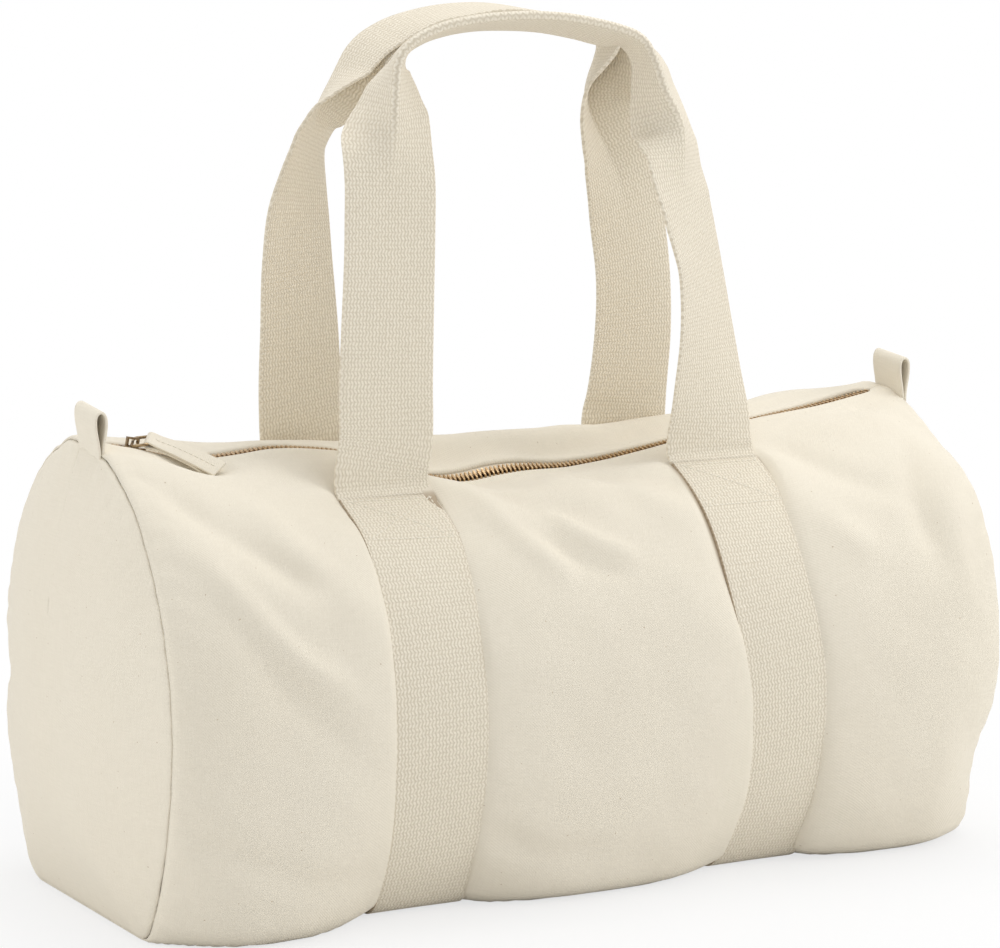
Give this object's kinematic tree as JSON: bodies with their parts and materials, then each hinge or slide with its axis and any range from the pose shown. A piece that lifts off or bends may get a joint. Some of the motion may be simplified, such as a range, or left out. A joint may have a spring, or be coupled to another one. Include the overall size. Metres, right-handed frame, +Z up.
{
  "type": "barrel bag",
  "caption": "Soft barrel bag of plain canvas with a zip along the top, webbing bands round the body, carry handles and a tab loop at each end.",
  "frame": {"origin": "centre of the bag's footprint, on the surface that it stands on", "axes": "+X along the bag towards the end where the zip opens last, +Y towards the rear handle, +Z up"},
  "size_m": [0.4826, 0.2196, 0.4238],
  "materials": {
    "canvas": "undyed plain-weave cotton canvas, matt, with a few seed flecks",
    "webbing": "coarse undyed cotton webbing, matt",
    "tape": "fine woven cotton tape, matt",
    "brass": "antique brass, darkened in the recesses"
  },
  "bodies": {
    "root": {"body_panel": "canvas", "left_end_panel": "canvas", "right_end_panel": "canvas", "left_seam_binding": "tape", "right_seam_binding": "tape", "zip_tape_front": "tape", "zip_tape_rear": "tape", "zip_teeth_front": "brass", "zip_teeth_rear": "brass", "zip_stops": "brass", "left_girth_band": "webbing", "right_girth_band": "webbing"},
    "slider": {"zip_slider": "brass"},
    "ring": {"pull_ring": "brass"},
    "pull": {"pull_tab": "canvas"},
    "left_loop": {"left_tab_loop": "canvas"},
    "right_loop": {"right_tab_loop": "canvas"},
    "front_carry": {"front_handle": "webbing"},
    "rear_carry": {"rear_handle": "webbing"}
  },
  "joints": [
    {"name": "zip_travel", "type": "hinge", "parent": "root", "child": "slider", "pos_m": [0, 0, 1.296], "axis": [0, -1, 0], "range_deg": [0, 20], "deforming": ["zip_teeth_front", "zip_teeth_rear"]},
    {"name": "ring_swing", "type": "hinge", "parent": "slider", "child": "ring", "pos_m": [-0.20362, 0, 0.223], "axis": [-0.3036, -0.9403, -0.154], "range_deg": [0, 100]},
    {"name": "pull_swing", "type": "hinge", "parent": "ring", "child": "pull", "pos_m": [-0.19756, -0.00269, 0.22748], "axis": [-0.3036, -0.9403, -0.154], "range_deg": [0, 70]},
    {"name": "left_loop_flop", "type": "hinge", "parent": "root", "child": "left_loop", "pos_m": [-0.22815, -0.008, 0.227], "axis": [0, 1, 0], "range_deg": [-90, 30], "stiffness_Nm_per_rad": 0.002},
    {"name": "right_loop_flop", "type": "hinge", "parent": "root", "child": "right_loop", "pos_m": [0.22815, -0.008, 0.227], "axis": [0, -1, 0], "range_deg": [-90, 30], "stiffness_Nm_per_rad": 0.002},
    {"name": "front_handle_fold", "type": "hinge", "parent": "root", "child": "front_carry", "pos_m": [0, -0.04508, 0.20624], "axis": [1, 0, 0], "range_deg": [-3, 115]},
    {"name": "rear_handle_fold", "type": "hinge", "parent": "root", "child": "rear_carry", "pos_m": [0, 0.04508, 0.20624], "axis": [-1, 0, 0], "range_deg": [-3, 115]}
  ]
}
